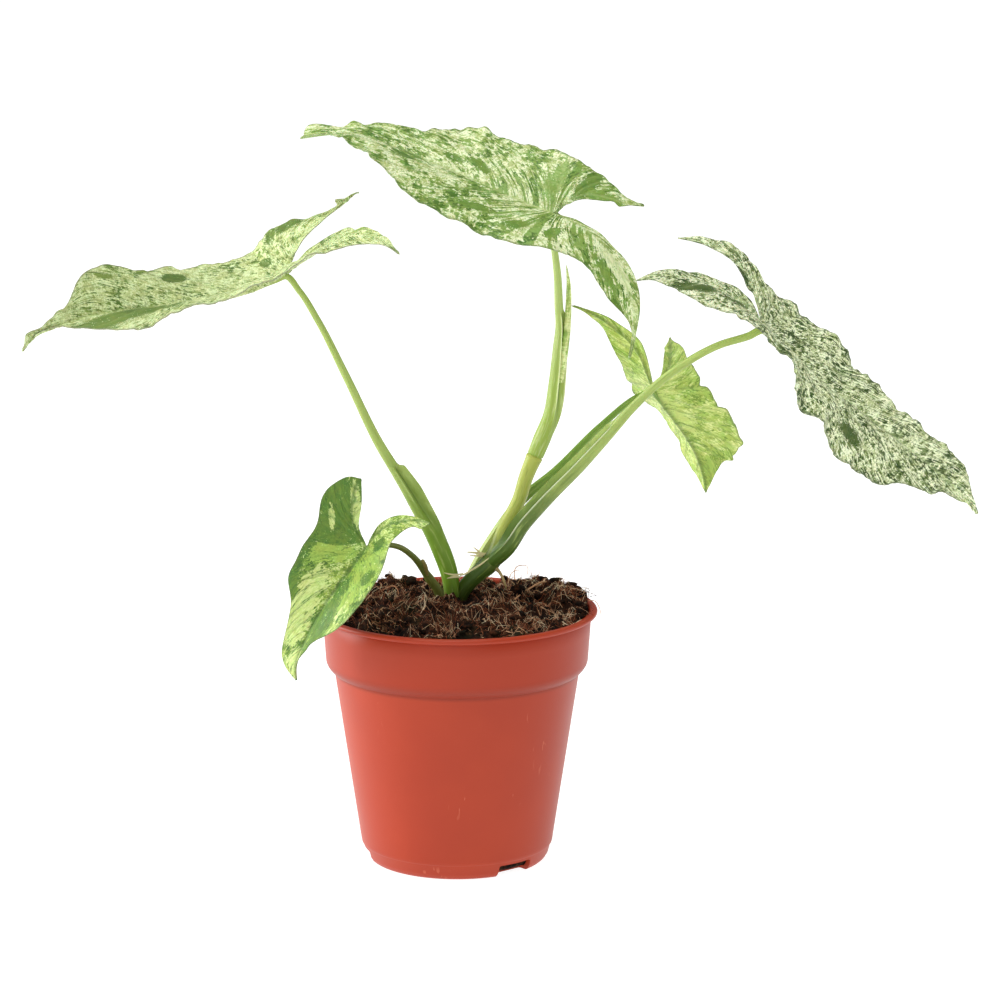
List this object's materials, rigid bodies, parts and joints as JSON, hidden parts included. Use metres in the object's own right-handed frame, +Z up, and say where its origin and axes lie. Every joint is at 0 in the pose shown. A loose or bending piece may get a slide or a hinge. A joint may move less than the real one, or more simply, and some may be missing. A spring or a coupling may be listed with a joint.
{
  "type": "potted syngonium",
  "caption": "Young arrowhead plant with arched stalks and large lobed variegated leaves, rooted in peat in a tapered plastic nursery pot.",
  "frame": {"origin": "middle of the pot's flat underside, where the pot rests", "axes": "+Z up along the pot's axis, -Y towards the front of the plant, +X to the plant's right as seen from the front"},
  "size_m": [0.3862, 0.1553, 0.3108],
  "materials": {
    "pot_plastic": "brick-red moulded plastic, satin, lightly scuffed",
    "peat": "dark brown peat with reddish coir fibres, rough and matte",
    "stem_green": "dark green to yellow-green living stem, smooth, satin",
    "petiole_light": "light green leaf stalk with paler streaks, satin",
    "petiole_green": "mid green leaf stalk, satin",
    "petiole_dark": "dark green leaf stalk, satin",
    "leaf_pale": "pale rolled young leaf, smooth",
    "leaf_cream": "cream and green mottled leaf, satin",
    "leaf_yellow_green": "yellow-green leaf with fine green speckle, satin",
    "leaf_grey_green": "grey-green leaf finely speckled with cream, satin",
    "leaf_light_green": "light green leaf underside, matte",
    "leaf_bright_green": "bright green leaf with dark green patches, satin"
  },
  "bodies": {
    "root": {"pot": "pot_plastic", "growing_medium": "peat", "main_stem": "stem_green", "petiole_top": "petiole_light", "petiole_left": "petiole_green", "petiole_right": "petiole_light", "petiole_rear": "petiole_green", "petiole_low": "petiole_dark", "new_leaf": "leaf_pale", "leaf_top": "leaf_cream", "leaf_left": "leaf_yellow_green", "leaf_right": "leaf_grey_green", "leaf_rear": "leaf_light_green", "leaf_low": "leaf_bright_green"}
  },
  "joints": []
}
